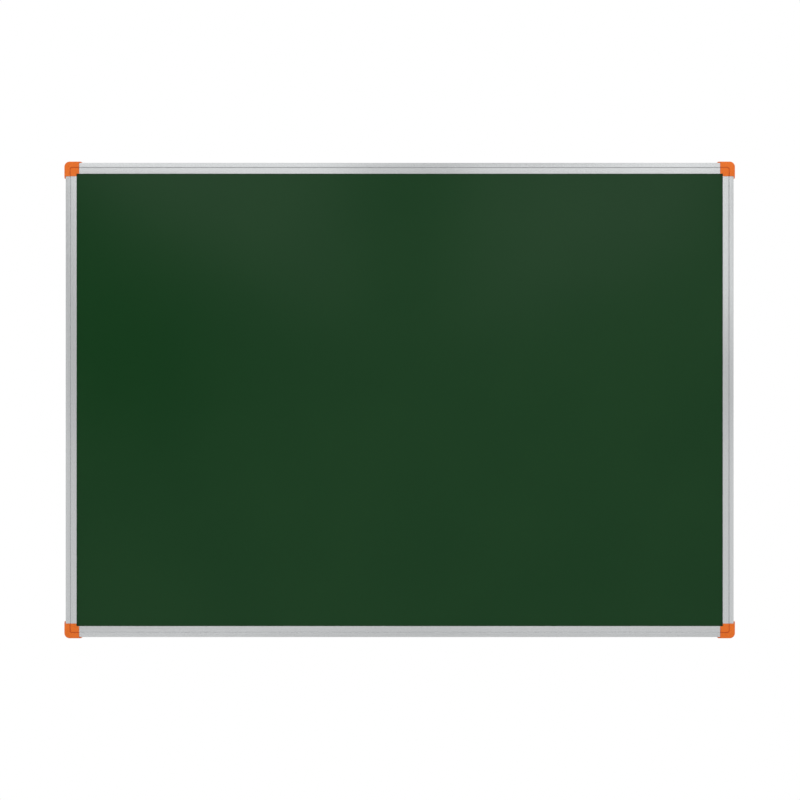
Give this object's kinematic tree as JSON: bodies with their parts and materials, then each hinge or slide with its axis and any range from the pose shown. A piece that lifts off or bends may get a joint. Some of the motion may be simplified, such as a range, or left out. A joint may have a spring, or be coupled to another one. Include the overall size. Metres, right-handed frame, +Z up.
{
  "type": "writing board",
  "caption": "Wall-hung green chalk writing board with a grooved aluminium frame, orange plastic corners and sliding keyhole hangers on the back",
  "frame": {"origin": "centre of the board on the wall plane, which the backs of the four corners and the two hangers lie in", "axes": "+X to the right as seen from the front, +Z up, and the writing side faces -Y, so the whole board lies at Y below zero"},
  "size_m": [1.0378, 0.0206, 0.7378],
  "materials": {
    "green_lacquer": "matt green chalk lacquer on steel sheet",
    "fibreboard": "bare pressed fibreboard",
    "zinc_sheet": "hot-dip zinc coating, dull and faintly spangled",
    "anodised_aluminium": "satin anodised extrusion with fine lines along it",
    "orange_plastic": "injection-moulded ABS, low gloss",
    "zinc_plated_steel": "bright zinc plating"
  },
  "bodies": {
    "frame": {"writing_sheet": "green_lacquer", "core_board": "fibreboard", "backing_sheet": "zinc_sheet", "rail_top": "anodised_aluminium", "rail_bottom": "anodised_aluminium", "rail_left": "anodised_aluminium", "rail_right": "anodised_aluminium", "corner_top_left": "orange_plastic", "corner_top_right": "orange_plastic", "corner_bottom_right": "orange_plastic", "corner_bottom_left": "orange_plastic", "corner_screw_top_1": "zinc_plated_steel", "corner_screw_top_2": "zinc_plated_steel", "corner_screw_bottom_1": "zinc_plated_steel", "corner_screw_bottom_2": "zinc_plated_steel", "corner_screw_left_1": "zinc_plated_steel", "corner_screw_left_2": "zinc_plated_steel", "corner_screw_right_1": "zinc_plated_steel", "corner_screw_right_2": "zinc_plated_steel"},
    "hanger_left": {"hanger_left": "zinc_plated_steel"},
    "hanger_right": {"hanger_right": "zinc_plated_steel"}
  },
  "joints": [
    {"name": "hanger_left_slide", "type": "slide", "parent": "frame", "child": "hanger_left", "axis": [1, 0, 0], "range_m": [-0.12, 0.32]},
    {"name": "hanger_right_slide", "type": "slide", "parent": "frame", "child": "hanger_right", "axis": [1, 0, 0], "range_m": [-0.32, 0.12]}
  ]
}
